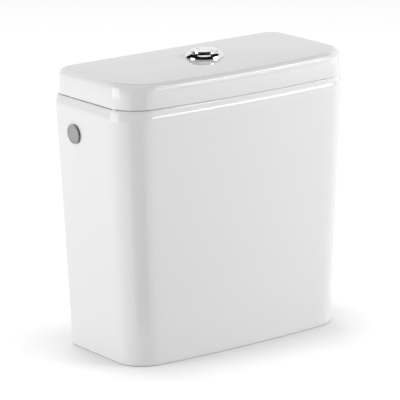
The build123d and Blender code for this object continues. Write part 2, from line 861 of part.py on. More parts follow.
def float_link():
    """Threaded rod from the float up through the lever."""
    return cylinder(link_radius, fill_float_top, lever_end_z + link_top, link_x, side_hole_y)


def level_clips():
    """Two clips on the rod, one under and one over the lever, that set the water level."""
    clips = Part()
    for bottom in (lever_end_z - clip_reach - clip_thickness, lever_end_z + clip_reach):
        clips += tube(
            collar_clip_radius, link_radius + thread_gap / 2, bottom, bottom + clip_thickness,
            link_x, side_hole_y)
    return clips


def silencer_tube():
    """Pipe that leads the inflow down the wall, with a socket over the valve outlet."""
    outer = outlet_radius - thread_gap
    y = side_hole_y
    pipe = tube(outer, outer - silencer_wall, outlet_z - silencer_length, outlet_z, outlet_x, y)
    socket_inner = outlet_radius + thread_gap
    return pipe + tube(
        socket_inner + silencer_wall, outer - silencer_wall, outlet_z - silencer_wall, outlet_z,
        outlet_x, y) + tube(
        socket_inner + silencer_wall, socket_inner, outlet_z, outlet_z + silencer_socket, outlet_x, y)


def on_left_wall(piece):
    """Piece drawn along +Z, put on the left-hand wall with +Z along the outward normal."""
    outwards = (-cos(draft), 0, -sin(draft))
    frame = Plane(origin=(-side_half(hole_z), side_hole_y, hole_z), x_dir=(0, 1, 0), z_dir=outwards)
    return frame.location * piece


def side_plug():
    """Blanking plug: flat disc with a raised rim outside, threaded shank through the wall."""
    disc_top = plug_seal_thickness + plug_thickness
    disc = cylinder(plug_radius, plug_seal_thickness, disc_top)
    disc -= cylinder(plug_radius - plug_rim, disc_top - plug_rim_height, disc_top + overrun)
    wall = tank_wall * cos(draft)
    shank_end = -wall - plug_shank_reach
    shank = tube(plug_shank_radius, plug_shank_radius - plug_shank_wall, shank_end, plug_seal_thickness)
    return on_left_wall(disc + shank)


def side_plug_seal():
    """Rubber washer under the plug's disc."""
    seal_radius = plug_radius - plug_seal_inset
    return on_left_wall(tube(seal_radius, plug_shank_radius + thread_gap, 0, plug_seal_thickness))


def side_plug_nut():
    """Hexagonal nut on the plug, inside the tank."""
    wall = tank_wall * cos(draft)
    nut = hex_nut(plug_nut_radius, plug_shank_radius + thread_gap, plug_nut_thickness)
    return on_left_wall(Pos(0, 0, -wall - plug_nut_thickness) * nut)


pieces = {
    "cistern_tank": cistern_tank(),
    "cistern_lid": cistern_lid(),
    "lid_buffers": lid_buffers(),
    "button_bezel": button_bezel(),
    "button_gasket": button_gasket(),
    "button_housing": button_housing(),
    "lid_clamp_nut": lid_clamp_nut(),
    "full_flush_button": flush_button(-1),
    "half_flush_button": flush_button(1),
    "full_button_spring": button_spring(-1),
    "half_button_spring": button_spring(1),
    "full_push_rod": push_rod(-1),
    "half_push_rod": push_rod(1),
    "valve_base": valve_base(),
    "base_gasket": base_gasket(),
    "back_nut": back_nut(),
    "coupling_gasket": coupling_gasket(),
    "valve_tower": valve_tower(),
    "rocker_bridge": rocker_bridge(),
    "full_flush_rocker": rocker(-1),
    "half_flush_rocker": rocker(1),
    "rocker_axles": rocker_axles(),
    "overflow_tube": overflow_tube(),
    "flush_seal": flush_seal(),
    "seal_retainer": seal_retainer(),
    "lift_collar": lift_collar(),
    "main_float": main_float(),
    "half_float_rod": half_float_rod(),
    "half_flush_float": half_flush_float(),
    "half_float_clips": half_float_clips(),
    "fill_valve_body": fill_valve_body(),
    "inlet_filter": inlet_filter(),
    "inlet_gasket": inlet_gasket(),
    "inlet_nut": inlet_nut(),
    "diaphragm": diaphragm(),
    "diaphragm_cap": diaphragm_cap(),
    "float_lever": float_lever(),
    "lever_pin": lever_pin(),
    "float_chamber": float_chamber(),
    "fill_float": fill_float(),
    "float_link": float_link(),
    "level_clips": level_clips(),
    "silencer_tube": silencer_tube(),
    "side_plug": side_plug(),
    "side_plug_seal": side_plug_seal(),
    "side_plug_nut": side_plug_nut(),
}

os.makedirs("parts", exist_ok=True)
for name, piece in pieces.items():
    export_step(piece, f"parts/{name}.step")
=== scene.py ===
import json
from collections import namedtuple
from math import asin, cos, pi, radians, sin, sqrt
import bmesh
import bpy
from mathutils import Matrix, Vector


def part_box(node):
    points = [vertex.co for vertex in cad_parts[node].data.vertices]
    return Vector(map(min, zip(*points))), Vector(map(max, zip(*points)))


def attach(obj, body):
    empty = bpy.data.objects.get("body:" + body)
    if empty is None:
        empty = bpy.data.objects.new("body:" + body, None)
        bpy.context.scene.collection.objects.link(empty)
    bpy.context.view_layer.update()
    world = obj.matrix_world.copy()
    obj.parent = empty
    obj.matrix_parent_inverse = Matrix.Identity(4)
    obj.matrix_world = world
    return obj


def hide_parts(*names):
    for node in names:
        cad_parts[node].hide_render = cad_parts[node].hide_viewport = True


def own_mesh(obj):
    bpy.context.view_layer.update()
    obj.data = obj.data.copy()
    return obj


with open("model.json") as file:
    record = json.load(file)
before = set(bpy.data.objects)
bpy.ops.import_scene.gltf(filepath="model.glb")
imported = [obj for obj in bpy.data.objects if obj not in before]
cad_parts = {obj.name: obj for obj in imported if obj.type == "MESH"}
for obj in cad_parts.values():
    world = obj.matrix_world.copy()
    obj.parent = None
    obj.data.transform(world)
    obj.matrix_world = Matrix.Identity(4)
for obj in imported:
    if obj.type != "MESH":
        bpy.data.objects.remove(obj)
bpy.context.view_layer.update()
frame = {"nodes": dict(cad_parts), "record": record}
nodes = frame["nodes"]
record = frame["record"]
mm = 0.001
hair = 0.01 * mm
overrun = 1 * mm

# Sides of round forms
coarse_sides = 48
medium_sides = 64
thread_sides = 72
round_sides = 96
fine_sides = 128

# Steps of rounded plans: at the corners and along the bowed front
front_corner_steps = 14
back_corner_steps = 8
front_cuts = 31

# Ceramic tank
tank_low, tank_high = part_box("cistern_tank")
tank_top = tank_high.z
back_y = tank_high.y
tank_foot_width = 341 * mm
tank_foot_depth = 163 * mm
tank_shoulder_width = 369 * mm
tank_shoulder_depth = tank_high.y - tank_low.y
tank_bow = 9 * mm
tank_front_corner = 39 * mm
tank_back_corner = 12 * mm
tank_wall = 9 * mm
foot_round = 2.5 * mm
foot_steps = 5
foot_rim = 12 * mm
recess_height = 34 * mm
floor_top = 45 * mm
floor_overrun = 2 * mm
shoulder_drop = 11 * mm
shoulder_curve_drop = 18 * mm
shoulder_inset = 3.5 * mm
shoulder_steps = 8
rim_round = 0.7 * mm
rim_steps = 4

# Ceramic lid
lid_low, lid_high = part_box("cistern_lid")
lid_width = lid_high.x - lid_low.x
lid_bow = 11 * mm
lid_front_corner = 40 * mm
lid_back_corner = 20 * mm
lid_taper = 2 * mm
lid_edge_radius = 8 * mm
lid_edge_steps = 10
lid_foot_round = 1.5 * mm
lid_foot_steps = 4
lid_wall = 9 * mm
lid_top_thickness = 9 * mm
lid_crown = 1.5 * mm
lid_landing_share = 0.36
crown_steps = 9
lid_front_drop = 2.2 * mm
lid_edge_top = lid_high.z - lid_crown
lid_under = lid_edge_top - lid_top_thickness

# Holes in the ceramic
inlet_low, inlet_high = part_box("inlet_nut")
side_hole_y = (inlet_low.y + inlet_high.y) / 2
side_hole_height = (inlet_low.z + inlet_high.z) / 2
side_hole_radius = 11.5 * mm
inlet_pad_radius = 20 * mm
inlet_pad_outside = inlet_low.x
inlet_pad_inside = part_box("inlet_gasket")[1].x
outlet_hole_radius = 32 * mm
bolt_hole_radius = 6 * mm
bolt_x = 80 * mm
button_hole_radius = 20 * mm

# Push button
bezel_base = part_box("button_bezel")[0].z
bezel_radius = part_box("button_bezel")[1].x
bezel_foot_height = 1.2 * mm
bezel_foot_edge = 0.3 * mm
bezel_crest_radius = 23.6 * mm
bezel_crest_height = 5.2 * mm
bezel_dome_steps = 20
bezel_bore = 17.8 * mm
bezel_lip_height = 6.8 * mm
bezel_lip_width = 0.4 * mm
bezel_lip_edge = (0.1 * mm, 0.15 * mm)
bezel_lip_depth = 0.5 * mm
bezel_hollow = 23.3 * mm
bezel_roof = 3.2 * mm
key_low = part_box("full_flush_button")[0].z
key_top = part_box("full_flush_button")[1].z
key_radius = 17.4 * mm
key_cap = 3.0 * mm
key_skirt = 1.8 * mm
key_edge = 0.7 * mm
key_edge_steps = 4
key_dish = 0.4 * mm
dish_steps = 6
dish_flat_steps = 0.2
stem_radius = 4.5 * mm
stem_overlap = 0.2 * mm
rod_x = 8.5 * mm
rod_y = 5.5 * mm
split_gap = 1.3 * mm
split_turn = radians(12)
split_reach = 18.4 * mm
split_bulge_share = 0.34
split_bulge = split_bulge_share * split_reach
split_cuts = 63

# Return springs
spring_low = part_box("full_button_spring")[0].z
spring_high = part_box("full_button_spring")[1].z
spring_radius = 5.9 * mm
spring_wire = 0.5 * mm
spring_turns = 9
wire_sides = 12
coil_steps = 28

# Blanking plug on the sloping left-hand wall
wall_lean = (tank_shoulder_width - tank_foot_width) / 2 / (tank_top - shoulder_drop)
plug_radius = 13.0 * mm
plug_thickness = 2.4 * mm
plug_edge = 0.4 * mm
plug_rim = 1.8 * mm
plug_rim_steps = 5
plug_rim_slope = 0.5 * mm
plug_dip = 0.8 * mm
plug_crown = 0.2 * mm
plug_middle = 1 * mm
plug_seal = 1.6 * mm
plug_shank = 9.8 * mm
plug_shank_wall = 2.0 * mm
plug_shank_end = -21.0 * mm

# Threads: radius, groove depth, pitch, number of grooves and height of the first one
Thread = namedtuple("Thread", "radius depth pitch count start")
tail_thread = Thread(29.8 * mm, 1.0 * mm, 2.31 * mm, 19, 0.9 * mm)
housing_thread = Thread(19.5 * mm, 0.9 * mm, 3.0 * mm, 11, 336 * mm)
inlet_thread = Thread(10.48 * mm, 0.8 * mm, 1.81 * mm, 7, 194.2 * mm)
plug_thread = Thread(9.8 * mm, 0.7 * mm, 2.0 * mm, 5, -20.4 * mm)
groove_share = 0.84
groove_overrun = 0.3 * mm

# Outline at a height: its width, and the places of its back and of the middle of its bowed front
Level = namedtuple("Level", "height width back front")

# Turns in degrees: the largest that stay flat or smooth, and the least at which an edge is rounded
flat_turn = 0.5
smooth_turn = 30
metal_smooth_turn = 40
spring_smooth_turn = 50
fitting_smooth_turn = 35
sharp_turn = 40
key_sharp_turn = 50


def deselect():
    """Leaves nothing selected, so that an operator acts only on the piece in hand."""
    bpy.ops.object.select_all(action="DESELECT")


def choose(piece):
    """Makes one piece the selected and active one."""
    deselect()
    piece.select_set(True)
    bpy.context.view_layer.objects.active = piece


def apply_place(piece):
    """Puts a piece's place, turn and size into its mesh."""
    choose(piece)
    bpy.ops.object.transform_apply(location=True, rotation=True, scale=True)
    return piece


def finish_primitive(name):
    """Names the new primitive and puts its place into its mesh."""
    piece = bpy.context.object
    piece.name = name
    piece.data.name = name
    return apply_place(piece)


def open_piece(piece, kind):
    """Opens a piece for editing points, edges or faces, with nothing selected."""
    choose(piece)
    bpy.ops.object.mode_set(mode="EDIT")
    bpy.ops.mesh.select_mode(type=kind)
    bpy.ops.mesh.select_all(action="DESELECT")


def close_piece():
    """Ends editing."""
    bpy.ops.object.mode_set(mode="OBJECT")


def pick(piece, part, wanted):
    """Selects the points, edges or faces that are wanted, and nothing else."""
    bpy.ops.mesh.select_all(action="DESELECT")
    mesh = bmesh.from_edit_mesh(piece.data)
    for item in getattr(mesh, part):
        if wanted(item):
            item.select_set(True)
    mesh.select_flush_mode()
    bmesh.update_edit_mesh(piece.data)


def flat_at(height):
    """Test for the faces that lie flat at a height."""
    return lambda face: max(abs(point.co.z - height) for point in face.verts) < hair


def add_modifier(piece, kind, **settings):
    """Adds a modifier with its settings and applies it."""
    change = piece.modifiers.new("change", kind)
    for key, value in settings.items():
        setattr(change, key, value)
    choose(piece)
    bpy.ops.object.modifier_apply(modifier=change.name)
    return piece


def cut_holes(piece, cutters, operation="DIFFERENCE"):
    """Cuts the cutters out of a piece, or joins them to it, and removes them."""
    for cutter in cutters:
        add_modifier(piece, "BOOLEAN", object=cutter, operation=operation, solver="EXACT")
        bpy.data.objects.remove(cutter)
    return piece


def drill(radius, start, end, sides=medium_sides):
    """Round bar between two points."""
    way = Vector(end) - Vector(start)
    deselect()
    bpy.ops.mesh.primitive_cylinder_add(
        vertices=sides, radius=radius, depth=way.length,
        location=(Vector(start) + Vector(end)) / 2,
        rotation=way.to_track_quat("Z", "Y").to_euler())
    return finish_primitive("drill")


def soften(piece, width, segments, degrees):
    """Rounds the edges that turn by more than an angle."""
    return add_modifier(
        piece, "BEVEL", width=width, segments=segments,
        limit_method="ANGLE", angle_limit=radians(degrees))


def smooth(piece, degrees=smooth_turn):
    """Turns the faces outwards and smooths all but the sharp edges."""
    open_piece(piece, "FACE")
    bpy.ops.mesh.select_all(action="SELECT")
    bpy.ops.mesh.normals_make_consistent(inside=False)
    close_piece()
    choose(piece)
    bpy.ops.object.shade_smooth_by_angle(angle=radians(degrees))
    return piece


def quarter_round(radius, steps):
    """Height and inset pairs of a rounded edge, from its sharp end to its blend."""
    turns = [pi / 2 * step / steps for step in range(steps + 1)]
    return [(radius * (1 - cos(turn)), radius * (1 - sin(turn))) for turn in turns]


def arc(start, middle, end, steps):
    """Points of radius and height along the arc through three points."""
    a, b, c = Vector(start), Vector(middle), Vector(end)
    twice = 2 * ((b - a).x * (c - a).y - (b - a).y * (c - a).x)
    reach_b, reach_c = (b - a).length_squared, (c - a).length_squared
    centre = a + Vector((
        ((c - a).y * reach_b - (b - a).y * reach_c) / twice,
        ((b - a).x * reach_c - (c - a).x * reach_b) / twice))
    spread = (a - centre).angle_signed(c - centre)
    points = []
    for step in range(steps + 1):
        turn = Matrix.Rotation(-spread * step / steps, 2)
        points.append(tuple(centre + turn @ (a - centre)))
    return points


def lathe(name, profile, sides=round_sides, ring=False):
    """Turns radius and height pairs about the upright axis, into a ring or a solid with flat ends."""
    first_radius, first_height = profile[0]
    deselect()
    bpy.ops.mesh.primitive_circle_add(
        vertices=sides, radius=first_radius, location=(0, 0, first_height))
    piece = finish_primitive(name)
    open_piece(piece, "EDGE")
    bpy.ops.mesh.select_all(action="SELECT")
    for now, then in zip(profile, profile[1:]):
        bpy.ops.mesh.extrude_region_move(TRANSFORM_OT_translate={"value": (0, 0, then[1] - now[1])})
        wider = then[0] / now[0]
        bpy.ops.transform.resize(value=(wider, wider, 1), center_override=(0, 0, then[1]))
    pick(piece, "edges", lambda edge: edge.is_boundary)
    if ring:
        bpy.ops.mesh.bridge_edge_loops()
    else:
        for height in (first_height, profile[-1][1]):
            pick(
                piece, "edges",
                lambda edge: edge.is_boundary and abs(edge.verts[0].co.z - height) < hair)
            bpy.ops.mesh.edge_face_add()
    close_piece()
    return piece


def rounded_plan(name, level, bow, front_corner, back_corner):
    """Flat face with rounded corners and a front that bows outwards."""
    half = level.width / 2
    side_end = level.front + bow
    deselect()
    bpy.ops.mesh.primitive_plane_add(size=1, location=(0, (level.back + side_end) / 2, level.height))
    bpy.ops.transform.resize(value=(level.width, level.back - side_end, 1))
    piece = finish_primitive(name)
    open_piece(piece, "VERT")
    pick(piece, "verts", lambda point: point.co.y < side_end + mm)
    bpy.ops.mesh.bevel(
        offset=front_corner, offset_pct=0, segments=front_corner_steps, affect="VERTICES")
    pick(piece, "verts", lambda point: point.co.y > level.back - mm)
    bpy.ops.mesh.bevel(
        offset=back_corner, offset_pct=0, segments=back_corner_steps, affect="VERTICES")
    bpy.ops.mesh.select_mode(type="EDGE")
    pick(piece, "edges", lambda edge: max(point.co.y for point in edge.verts) < side_end + hair)
    bpy.ops.mesh.subdivide(number_cuts=front_cuts)
    bpy.ops.mesh.select_mode(type="VERT")
    bow_front(piece, half, side_end + front_corner, bow)
    bpy.ops.mesh.select_mode(type="FACE")
    bpy.ops.mesh.select_all(action="SELECT")
    return piece


def bow_front(piece, half, reach, bow):
    """Moves each column of front points outwards, most in the middle."""
    mesh = bmesh.from_edit_mesh(piece.data)
    columns = sorted({round(point.co.x, 6) for point in mesh.verts if point.co.y < reach})
    for column in columns:
        pick(
            piece, "verts",
            lambda point: abs(point.co.x - column) < hair / 5 and point.co.y < reach)
        bpy.ops.transform.translate(value=(0, -bow * (1 - (column / half) ** 2), 0))


def raise_through(levels):
    """Extrudes the selected face from each level to the next."""
    for now, then in zip(levels, levels[1:]):
        shift = (0, then.back - now.back, then.height - now.height)
        bpy.ops.mesh.extrude_region_move(TRANSFORM_OT_translate={"value": shift})
        deep = (then.back - then.front) / (now.back - now.front)
        wide = then.width / now.width
        bpy.ops.transform.resize(value=(wide, deep, 1), center_override=(0, then.back, 0))


def tank_level(height, inset):
    """Outline of the tank at a height, drawn in at the sides and the front."""
    share = min(height / (tank_top - shoulder_drop), 1)
    width = tank_foot_width + share * (tank_shoulder_width - tank_foot_width) - 2 * inset
    depth = tank_foot_depth + share * (tank_shoulder_depth - tank_foot_depth) - inset
    return Level(height, width, back_y, back_y - depth)


def shoulder_levels():
    """Outlines of the tank up its shoulder's curve and over the rounded edge of its rim."""
    sweep = (shoulder_curve_drop ** 2 + shoulder_inset ** 2) / (2 * shoulder_inset)
    lean = asin((shoulder_curve_drop - rim_round) / (sweep - rim_round))
    curve_start = tank_top - shoulder_curve_drop
    levels = []
    for step in range(shoulder_steps + 1):
        turn = lean * step / shoulder_steps
        levels.append(tank_level(curve_start + sweep * sin(turn), sweep * (1 - cos(turn))))
    rim_start = sweep * (1 - cos(lean))
    for step in range(1, rim_steps + 1):
        turn = lean + (pi / 2 - lean) * step / rim_steps
        inset = rim_start + rim_round * (cos(lean) - cos(turn))
        levels.append(tank_level(tank_top - rim_round * (1 - sin(turn)), inset))
    return levels


def make_tank():
    """Ceramic tank: tapering walls, curved-in shoulder, hollow room, foot rim round a recess."""
    levels = [tank_level(rise, inset) for rise, inset in quarter_round(foot_round, foot_steps)]
    levels += shoulder_levels()
    front_corner = tank_front_corner - foot_round
    piece = rounded_plan("tank_shell", levels[0], tank_bow, front_corner, tank_back_corner)
    raise_through(levels)
    room_width = tank_shoulder_width - 2 * tank_wall - 2 * shoulder_inset
    room_depth = tank_shoulder_depth - 2 * tank_wall - shoulder_inset
    bpy.ops.mesh.inset(thickness=(levels[-1].width - room_width) / 2)
    bpy.ops.mesh.extrude_region_move(TRANSFORM_OT_translate={"value": (0, 0, floor_top - tank_top)})
    shrink_x = (tank_foot_width - 2 * tank_wall) / room_width
    shrink_y = (tank_foot_depth - 2 * tank_wall) / room_depth
    bpy.ops.transform.resize(value=(shrink_x, shrink_y, 1), center_override=(0, back_y - tank_wall, 0))
    pick(piece, "faces", flat_at(0))
    bpy.ops.mesh.inset(thickness=foot_rim - foot_round)
    bpy.ops.mesh.extrude_region_move(TRANSFORM_OT_translate={"value": (0, 0, recess_height)})
    close_piece()
    place = (side_hole_y, side_hole_height)
    pad = drill(inlet_pad_radius, (inlet_pad_inside, *place), (inlet_pad_outside, *place))
    cut_holes(piece, [pad], "UNION")
    low = recess_height - floor_overrun
    high = floor_top + floor_overrun
    cutters = [drill(outlet_hole_radius, (0, 0, low), (0, 0, high), round_sides)]
    for x in (-bolt_x, bolt_x):
        cutters.append(drill(bolt_hole_radius, (x, 0, low), (x, 0, high), coarse_sides))
    side_x = tank_shoulder_width / 2
    cutters.append(drill(side_hole_radius, (-side_x, *place), (side_x + overrun, *place)))
    cut_holes(piece, cutters)
    return show(smooth(piece), "cistern_tank")


def lid_level(height, inset):
    """Outline of the lid at a height, drawn in from its widest."""
    return Level(height, lid_width - 2 * inset, lid_high.y - inset, lid_low.y + inset)


def lid_top_level(drop, inset):
    """Outline of the lid near its top, where its sides have come in by their taper."""
    level = lid_level(lid_edge_top - drop, inset)
    return Level(level.height, level.width - 2 * lid_taper, level.back, level.front + lid_taper)


def crown_lid():
    """Raises the selected top face into a shallow crown that ends in a flat landing for the button."""
    share = 1
    for step in range(1, crown_steps + 1):
        then = 1 - (1 - lid_landing_share) * step / crown_steps
        rise = lid_crown * (share ** 2 - then ** 2) / (1 - lid_landing_share ** 2)
        bpy.ops.mesh.extrude_region_move(TRANSFORM_OT_translate={"value": (0, 0, rise)})
        bpy.ops.transform.resize(value=(then / share, then / share, 1), center_override=(0, 0, 0))
        share = then


def lower_front(piece):
    """Lets the lid's top fall away a little in front of the button's landing."""
    start = -lid_landing_share * lid_high.y
    top = lid_edge_top - lid_edge_radius - hair
    bpy.ops.mesh.select_mode(type="VERT")
    rows = {round(point.co.y, 5) for point in bmesh.from_edit_mesh(piece.data).verts if point.co.z > top}
    for row in sorted(row for row in rows if row < start):
        fall = lid_front_drop * ((row - start) / (lid_low.y - start)) ** 2
        pick(piece, "verts", lambda point: abs(point.co.y - row) < hair / 2 and point.co.z > top)
        bpy.ops.transform.translate(value=(0, 0, -fall))


def make_lid():
    """Ceramic lid with a rounded top edge, a crowned top, a hollow underside and the button's hole."""
    foot = quarter_round(lid_foot_round, lid_foot_steps)
    edge = quarter_round(lid_edge_radius, lid_edge_steps)
    levels = [lid_level(lid_low.z + rise, inset) for rise, inset in foot]
    levels += [lid_top_level(drop, inset) for drop, inset in reversed(edge)]
    piece = rounded_plan("lid_shell", levels[0], lid_bow, lid_front_corner, lid_back_corner)
    raise_through(levels)
    crown_lid()
    lower_front(piece)
    bpy.ops.mesh.select_mode(type="FACE")
    pick(piece, "faces", flat_at(lid_low.z))
    bpy.ops.mesh.inset(thickness=lid_wall - lid_foot_round)
    bpy.ops.mesh.extrude_region_move(TRANSFORM_OT_translate={"value": (0, 0, lid_under - lid_low.z)})
    close_piece()
    low = lid_under - overrun
    high = lid_high.z + overrun
    cut_holes(piece, [drill(button_hole_radius, (0, 0, low), (0, 0, high), round_sides)])
    return show(smooth(piece), "cistern_lid")


def make_bezel():
    """Chrome ring that domes from its foot up to a lip round the buttons."""
    foot = (bezel_radius, bezel_base + bezel_foot_height)
    crest = (bezel_crest_radius, bezel_base + bezel_crest_height)
    lip_top = bezel_base + bezel_lip_height
    lip = (bezel_bore + bezel_lip_width, lip_top)
    lip_in, lip_down = bezel_lip_edge
    profile = [(bezel_hollow, bezel_base), (bezel_radius - bezel_foot_edge, bezel_base)]
    profile.append((bezel_radius, bezel_base + bezel_foot_edge))
    profile += arc(foot, crest, lip, bezel_dome_steps)
    profile += [(bezel_bore + lip_in, lip_top - lip_down), (bezel_bore, lip_top - bezel_lip_depth)]
    profile += [(bezel_bore, bezel_base + bezel_roof), (bezel_hollow, bezel_base + bezel_roof)]
    piece = lathe("button_ring", profile, fine_sides, ring=True)
    return show(smooth(piece, metal_smooth_turn), "button_bezel")


def split_shift(along):
    """Sideways shift of the S-shaped split at a distance along it, as two arcs."""
    half = split_reach / 2
    sweep = (half ** 2 + split_bulge ** 2) / (2 * split_bulge)
    across = sqrt(max(sweep ** 2 - (abs(along) - half) ** 2, 0)) - (sweep - split_bulge)
    return -across if along > 0 else across


def split_block(side):
    """Block that covers one side of the split, with its inner face curved along it."""
    far = 2 * split_reach
    place = (side * (far + split_gap) / 2, 0, key_top - far / 4)
    deselect()
    bpy.ops.mesh.primitive_cube_add(size=far, location=place)
    piece = finish_primitive("split_block")
    open_piece(piece, "EDGE")
    pick(piece, "edges", lambda edge: abs(edge.verts[0].co.y - edge.verts[1].co.y) > split_reach)
    bpy.ops.mesh.subdivide(number_cuts=split_cuts)
    bpy.ops.mesh.select_mode(type="VERT")
    rows = sorted({round(point.co.y, 6) for point in bmesh.from_edit_mesh(piece.data).verts})
    for row in rows:
        pick(
            piece, "verts",
            lambda point: abs(point.co.y - row) < hair and abs(point.co.x) < far / 2)
        bpy.ops.transform.translate(value=(split_shift(row), 0, 0))
    close_piece()
    piece.rotation_euler.z = -split_turn
    return apply_place(piece)


def make_key(name, node, side):
    """Chrome half button: comma-shaped cap with a faint dish and soft edges, its skirt and its stem."""
    profile = [(key_radius, key_low), (key_radius, key_top)]
    for step in range(1, dish_steps + 1):
        share = 1 - step / (dish_steps + dish_flat_steps)
        profile.append((key_radius * share, key_top - key_dish * (1 - share ** 2)))
    piece = lathe(name, profile, fine_sides)
    cut_holes(piece, [split_block(side)], "INTERSECT")
    soften(piece, key_edge, key_edge_steps, key_sharp_turn)
    cap_low = key_top - key_cap
    hollow = drill(key_radius - key_skirt, (0, 0, key_low - overrun), (0, 0, cap_low), round_sides)
    cut_holes(piece, [hollow])
    place = (side * rod_x, side * rod_y)
    stem = drill(stem_radius, (*place, key_low), (*place, cap_low + stem_overlap), coarse_sides)
    cut_holes(piece, [stem], "UNION")
    return show(smooth(piece, metal_smooth_turn), node)


def make_spring(name, node, side):
    """Coil spring of round wire, standing on the housing floor round its rod."""
    pitch = (spring_high - spring_low - 2 * spring_wire) / spring_turns
    deselect()
    bpy.ops.mesh.primitive_circle_add(
        vertices=wire_sides, radius=spring_wire,
        location=(spring_radius, 0, spring_low + spring_wire), rotation=(pi / 2, 0, 0))
    piece = finish_primitive(name)
    add_modifier(
        piece, "SCREW", angle=2 * pi, screw_offset=pitch, iterations=spring_turns,
        steps=coil_steps, render_steps=coil_steps)
    piece.location = (side * rod_x, side * rod_y, 0)
    apply_place(piece)
    open_piece(piece, "EDGE")
    pick(piece, "edges", lambda edge: edge.is_boundary)
    bpy.ops.mesh.edge_face_add()
    close_piece()
    show(smooth(piece, spring_smooth_turn), node, "lid")
    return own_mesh(piece)


def lay_along_x(piece):
    """Lays a piece drawn upright at the origin along the side hole, its top to the right."""
    place = Matrix.Translation((0, side_hole_y, side_hole_height))
    piece.matrix_world = place @ Matrix.Rotation(pi / 2, 4, "Y")
    return apply_place(piece)


def lay_on_left_wall(piece):
    """Lays a piece drawn upright at the origin on the left-hand wall, its top outwards."""
    wall_x = -(tank_foot_width / 2 + wall_lean * side_hole_height)
    outwards = Vector((-1, 0, -wall_lean)).normalized()
    along = Vector((0, 1, 0))
    turn = Matrix((along, outwards.cross(along), outwards)).transposed().to_4x4()
    piece.matrix_world = Matrix.Translation((wall_x, side_hole_y, side_hole_height)) @ turn
    return apply_place(piece)


def thread_grooves(thread):
    """Row of V-shaped ring cutters that leave a thread on an upright shank."""
    groove = groove_share * thread.pitch
    outside = thread.radius + groove_overrun
    section = [(thread.radius - thread.depth, thread.start + groove / 2)]
    section += [(outside, thread.start), (outside, thread.start + groove)]
    piece = lathe("grooves", section, thread_sides, ring=True)
    add_modifier(
        piece, "ARRAY", count=thread.count, use_relative_offset=False, use_constant_offset=True,
        constant_offset_displace=(0, 0, thread.pitch))
    return smooth(piece)


def make_plug():
    """Grey disc with a raised, rounded rim and a hollow threaded shank."""
    top = plug_seal + plug_thickness
    rim_inside = plug_radius - plug_rim
    profile = [(plug_shank - plug_shank_wall, plug_shank_end), (plug_shank, plug_shank_end)]
    profile += [(plug_shank, plug_seal), (plug_radius - plug_edge, plug_seal)]
    profile.append((plug_radius, plug_seal + plug_edge))
    for rise, inset in quarter_round(plug_rim / 2, plug_rim_steps):
        profile.append((plug_radius - rise, top - inset))
    profile += [(rim_inside + plug_rim / 4, top - plug_dip / 8), (rim_inside, top - plug_dip * 0.6)]
    profile += [(rim_inside - plug_rim_slope, top - plug_dip), (plug_middle, top - plug_dip + plug_crown)]
    piece = lathe("blank_plug", profile)
    bore = plug_shank - plug_shank_wall
    hollow = drill(bore, (0, 0, plug_shank_end - overrun), (0, 0, plug_seal))
    cut_holes(piece, [hollow, thread_grooves(plug_thread)])
    return show(smooth(lay_on_left_wall(piece), metal_smooth_turn), "side_plug")


def body_of_node(node):
    """Body that carries a CAD node."""
    bodies = record["behaviour"]["bodies"]
    return next(body for body, held in bodies.items() if node in held)


def show(piece, node, body=None):
    """Lets a piece stand for a CAD node: it rides on the node's body and takes the node's finish."""
    slot = next(row["material_slot"] for row in record["subparts"] if row["node"] == node)
    piece.data.materials.clear()
    piece.data.materials.append(finishes[slot])
    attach(piece, body or body_of_node(node))
    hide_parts(node)
    return piece


def copy_node(name):
    """Own copy of a CAD node's mesh at the world origin, its points merged and its flats made whole."""
    mesh = nodes[name].data.copy()
    mesh.transform(nodes[name].matrix_world)
    piece = bpy.data.objects.new("finished_" + name, mesh)
    bpy.context.scene.collection.objects.link(piece)
    open_piece(piece, "VERT")
    bpy.ops.mesh.select_all(action="SELECT")
    bpy.ops.mesh.remove_doubles(threshold=hair)
    bpy.ops.mesh.dissolve_limited(angle_limit=radians(flat_turn))
    close_piece()
    return piece


# Fittings whose shanks get a thread, and how each thread is laid
threaded = {
    "valve_base": (tail_thread, None),
    "button_housing": (housing_thread, None),
    "fill_valve_body": (inlet_thread, lay_along_x),
}
edge_round = 0.35 * mm
edge_steps = 2


def finish_fitting(name):
    """Fitting with its CAD form, softened edges and, where it has one, its thread."""
    piece = copy_node(name)
    soften(piece, edge_round, edge_steps, sharp_turn)
    if name in threaded:
        thread, lay = threaded[name]
        cutter = thread_grooves(thread)
        if lay:
            lay(cutter)
        cut_holes(piece, [cutter])
    return show(smooth(piece, fitting_smooth_turn), name)


class Value:
    """A socket whose arithmetic adds Math nodes to its tree."""

    def __init__(self, tree, socket):
        self.tree = tree
        self.socket = socket

    def math(self, operation, one, other):
        """Adds one Math node over two values."""
        return self.tree.add("ShaderNodeMath", {"operation": operation}, {0: one, 1: other})

    def __add__(self, other):
        return self.math("ADD", self, other)

    __radd__ = __add__

    def __mul__(self, other):
        return self.math("MULTIPLY", self, other)

    __rmul__ = __mul__

    def __sub__(self, other):
        return self.math("SUBTRACT", self, other)

    def __rsub__(self, other):
        return self.math("SUBTRACT", other, self)


